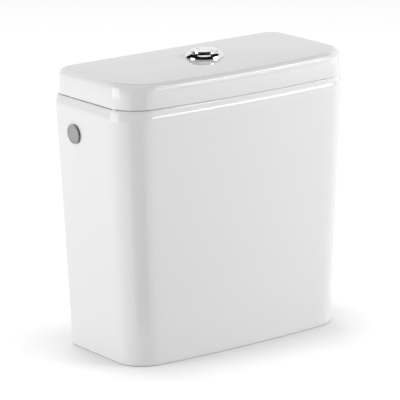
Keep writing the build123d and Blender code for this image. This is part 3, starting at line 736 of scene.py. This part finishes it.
class Nodes:
    """A node tree that is built from plain values and expressions."""

    def __init__(self, owner, main):
        owner.use_nodes = True
        self.nodes = owner.node_tree.nodes
        self.links = owner.node_tree.links
        self.main = self.nodes[main]

    def add(self, kind, settings=None, values=None, output=0):
        """Adds a node: its settings first, then the values or links of its sockets."""
        node = self.nodes.new(kind)
        for key, value in (settings or {}).items():
            setattr(node, key, value)
        for key, value in (values or {}).items():
            self.feed(node.inputs[key], value)
        return Value(self, node.outputs[output])

    def feed(self, socket, value):
        """Links a value to a socket, or sets a plain number or colour on it."""
        if isinstance(value, Value):
            self.links.new(value.socket, socket)
        else:
            socket.default_value = value

    def set(self, **values):
        """Sets sockets of the main node, whose names are written with underscores."""
        for key, value in values.items():
            self.feed(self.main.inputs[key.replace("_", " ")], value)
        return self

    def noise(self, scale, detail=2.0, rough=0.5):
        """Plain noise over the piece."""
        place = self.add("ShaderNodeTexCoord", output="Object")
        return self.add("ShaderNodeTexNoise", None, {
            "Vector": place, "Scale": scale, "Detail": detail, "Roughness": rough})

    def mix(self, share, one, other):
        """Colour between two colours."""
        return self.add("ShaderNodeMix", {"data_type": "RGBA"}, {0: share, 6: one, 7: other}, output=2)

    def bump(self, height, depth, strength=1.0):
        """Feeds a height into the shader's normal."""
        return self.set(Normal=self.add("ShaderNodeBump", None, {
            "Height": height, "Distance": depth, "Strength": strength}))

    def seen(self):
        """One for rays from the camera, from a mirror or through glass, else nothing."""
        camera = self.add("ShaderNodeLightPath", output="Is Camera Ray")
        glossy = self.add("ShaderNodeLightPath", output="Is Glossy Ray")
        return camera + glossy + self.add("ShaderNodeLightPath", output="Is Transmission Ray")


def grey(level):
    """Plain grey of one level."""
    return (level, level, level, 1)


def new_finish(name):
    """Material with one principled shader."""
    material = bpy.data.materials.new(name)
    return material, Nodes(material, "Principled BSDF")


def glaze_finish(name):
    """Glossy white glaze, a little wavy, with a faint change of whiteness."""
    material, tree = new_finish(name)
    tree.set(
        Base_Color=tree.mix(tree.noise(3.0), grey(0.86), (0.885, 0.885, 0.88, 1)),
        Roughness=0.05 + tree.noise(9.0) * 0.05, IOR=1.5)
    tree.bump(tree.noise(14.0, 3.0) + tree.noise(160.0) * 0.03, 0.6 * mm, 0.25)
    return material


def chrome_finish(name):
    """Bright chrome plating with the faintest haze."""
    material, tree = new_finish(name)
    tree.set(
        Base_Color=(0.80, 0.81, 0.82, 1), Metallic=1.0,
        Roughness=0.05 + tree.noise(180.0, 3.0) * 0.05)
    return material


def plastic_finish(name, colour, shade):
    """Moulded plastic with a fine spark-eroded grain."""
    material, tree = new_finish(name)
    tree.set(
        Base_Color=tree.mix(tree.noise(22.0), colour, shade),
        Roughness=0.42 + tree.noise(60.0) * 0.08, IOR=1.5)
    tree.bump(tree.noise(1600.0, 2.0), 0.05 * mm, 0.4)
    return material


def rubber_finish(name, dark, light):
    """Matt rubber with a dusty bloom."""
    material, tree = new_finish(name)
    cloud = tree.noise(40.0)
    tree.set(Base_Color=tree.mix(cloud, grey(dark), grey(light)), Roughness=0.7 + cloud * 0.15)
    tree.bump(tree.noise(900.0, 3.0), 0.08 * mm, 0.5)
    return material


def steel_finish(name):
    """Drawn stainless steel."""
    material, tree = new_finish(name)
    tree.set(Base_Color=grey(0.62), Metallic=1.0, Roughness=0.22 + tree.noise(300.0, 4.0) * 0.15)
    return material


finishes = {
    "glaze": glaze_finish("glaze"),
    "chrome": chrome_finish("chrome"),
    "black_rubber": rubber_finish("black_rubber", 0.022, 0.035),
    "white_rubber": rubber_finish("white_rubber", 0.70, 0.76),
    "steel": steel_finish("steel"),
    "grey_plastic": plastic_finish("grey_plastic", grey(0.36), grey(0.40)),
    "blue_plastic": plastic_finish("blue_plastic", (0.03, 0.10, 0.34, 1), (0.04, 0.12, 0.38, 1)),
    "white_plastic": plastic_finish("white_plastic", grey(0.74), grey(0.79)),
}


# Camera of the photograph
camera_place = Vector((-2.1834455, -3.046994, 1.1702034))
camera_aim = Vector((0.56122739, 0.78771522, -0.25402468))
camera_roll = radians(-1.356)
lens_share = 7.286
sensor_width = 36
farthest_seen = 50


def make_camera():
    """Long lens at the photograph's viewpoint, with its slight roll."""
    right = camera_aim.cross(Vector((0, 0, 1))).normalized()
    up = right.cross(camera_aim)
    turned_right = right * cos(camera_roll) + up * sin(camera_roll)
    turned_up = up * cos(camera_roll) - right * sin(camera_roll)
    data = bpy.data.cameras.new("camera")
    data.sensor_width = sensor_width
    data.lens = lens_share * sensor_width
    data.clip_end = farthest_seen
    camera = bpy.data.objects.new("camera", data)
    camera.location = camera_place
    camera.rotation_euler = Matrix((turned_right, turned_up, -camera_aim)).transposed().to_euler()
    bpy.context.scene.collection.objects.link(camera)
    bpy.context.scene.camera = camera
    bpy.context.scene.view_settings.view_transform = "Standard"


# Studio: white floor and surroundings, dark screens that only glossy surfaces show, and soft lamps
floor_size = 30
floor_level = 0.75
floor_seen_level = 1.0
floor_lift = 0.33
# Painted shade on the floor: ambient occlusion within this reach darkens its colour and glow near the
# object, down to this share
shade_reach = 0.11
shade_level = 0.33
shade_samples = 16
world_level = 0.33
screen_radius = 5.2
screen_height = 4.2
ceiling_opening = 1.6
screen_middle = radians(197)
screen_half_angle = radians(93)
felt_level = 0.02
card_inside = 0.1
card_outside = 5.0
card_height = 1 * mm
card_middle = radians(236)
card_half_angle = radians(25)
card_centre = (-0.15, -0.055)
lamp_aim = Vector((0, 0, 0.2))
Lamp = namedtuple("Lamp", "place width height power mirrored")
lamps = {
    "left_softbox": Lamp((-1.9, 0.62, 0.56), 1.1, 1.1, 11, True),
    "edge_softbox": Lamp((1.93, -2.3, 1.95), 1.5, 1.0, 30, True),
    "front_strip": Lamp((2.0, -2.75, 0.60), 2.4, 0.4, 20, True),
    "left_fill": Lamp((-3.2, -0.6, 1.0), 1.6, 1.6, 7, False),
    "left_low_fill": Lamp((-3.3, 0.4, 0.5), 2.0, 1.0, 17, False),
    "right_fill": Lamp((3.3, -0.2, 1.2), 2.0, 2.0, 3, False),
    "right_low_fill": Lamp((3.2, -1.4, 0.45), 2.0, 0.8, 26, False),
    "back_fill": Lamp((0.2, 2.0, 2.8), 2.4, 2.0, 27, False),
}


def make_floor():
    """Wide pale floor that looks plain white and keeps the object's soft shadow, deepened by painted
    shade: ambient occlusion darkens its seen colour and glow near the object.
    """
    deselect()
    bpy.ops.mesh.primitive_plane_add(size=floor_size)
    floor = finish_primitive("floor")
    material, tree = new_finish("white_floor")
    # Painted shade: ambient occlusion darkens the floor's seen colour and its glow near the object, on top
    # of the real shadow from the lamps
    painted_shade_mask = tree.add(
        "ShaderNodeAmbientOcclusion", {"samples": shade_samples}, {"Distance": shade_reach}, "AO")
    colour = tree.mix(painted_shade_mask, grey(shade_level * floor_seen_level), grey(floor_seen_level))
    lift = tree.mix(painted_shade_mask, grey(shade_level * floor_lift), grey(floor_lift))
    tree.set(
        Base_Color=tree.mix(tree.seen(), grey(floor_level), colour), Roughness=1.0, Specular_IOR_Level=0.0,
        Emission_Color=tree.mix(tree.seen(), grey(0.0), lift), Emission_Strength=1.0)
    floor.data.materials.append(material)


def keep_sector(piece, middle, half_angle):
    """Keeps only the faces of a round piece that lie within an angle of a direction."""
    towards = Vector((cos(middle), sin(middle)))
    least = cos(half_angle)
    open_piece(piece, "FACE")
    pick(
        piece, "faces",
        lambda face: face.calc_center_median().xy.normalized().dot(towards) < least)
    bpy.ops.mesh.delete(type="FACE")
    close_piece()


def flat_ring(name, inside, outside, height):
    """Level ring between two radii."""
    deselect()
    bpy.ops.mesh.primitive_circle_add(vertices=round_sides, radius=inside, location=(0, 0, height))
    ring = finish_primitive(name)
    open_piece(ring, "EDGE")
    bpy.ops.mesh.select_all(action="SELECT")
    bpy.ops.mesh.extrude_region_move()
    wider = outside / inside
    bpy.ops.transform.resize(value=(wider, wider, 1), center_override=(0, 0, height))
    close_piece()
    return ring


def make_screens():
    """Dark curved screen, ceiling ring and card on the floor, which only glossy surfaces show."""
    deselect()
    bpy.ops.mesh.primitive_cylinder_add(
        vertices=round_sides, radius=screen_radius, depth=screen_height, end_fill_type="NOTHING",
        location=(0, 0, screen_height / 2))
    screen = finish_primitive("dark_screen")
    keep_sector(screen, screen_middle, screen_half_angle)
    ceiling = flat_ring("dark_ceiling", ceiling_opening, screen_radius, screen_height)
    card = flat_ring("dark_card", card_inside, card_outside, card_height)
    keep_sector(card, card_middle, card_half_angle)
    card.location.xy = card_centre
    apply_place(card)
    material, tree = new_finish("dark_felt")
    tree.set(Base_Color=grey(felt_level), Roughness=1.0, Specular_IOR_Level=0.0)
    for piece in (screen, ceiling, card):
        piece.data.materials.append(material)
        piece.visible_camera = False
        piece.visible_diffuse = False
        piece.visible_shadow = False


def make_lamp(name, lamp):
    """Soft rectangular lamp that looks at the object."""
    data = bpy.data.lights.new(name, "AREA")
    data.shape = "RECTANGLE"
    data.size = lamp.width
    data.size_y = lamp.height
    data.energy = lamp.power
    holder = bpy.data.objects.new(name, data)
    holder.location = lamp.place
    holder.visible_glossy = lamp.mirrored
    holder.rotation_euler = (lamp_aim - Vector(lamp.place)).to_track_quat("-Z", "Y").to_euler()
    bpy.context.scene.collection.objects.link(holder)


def make_world(level):
    """Even surroundings, white wherever they are seen."""
    world = bpy.data.worlds.new("studio")
    tree = Nodes(world, "Background")
    tree.set(Color=grey(1.0), Strength=level + (1 - level) * tree.seen())
    bpy.context.scene.world = world


make_tank()
make_lid()
make_bezel()
make_key("full_key", "full_flush_button", -1)
make_key("half_key", "half_flush_button", 1)
make_spring("full_spring", "full_button_spring", -1)
make_spring("half_spring", "half_button_spring", 1)
make_plug()
for row in record["subparts"]:
    if not nodes[row["node"]].hide_render:
        finish_fitting(row["node"])
make_camera()
make_floor()
make_screens()
for name, lamp in lamps.items():
    make_lamp(name, lamp)
make_world(world_level)
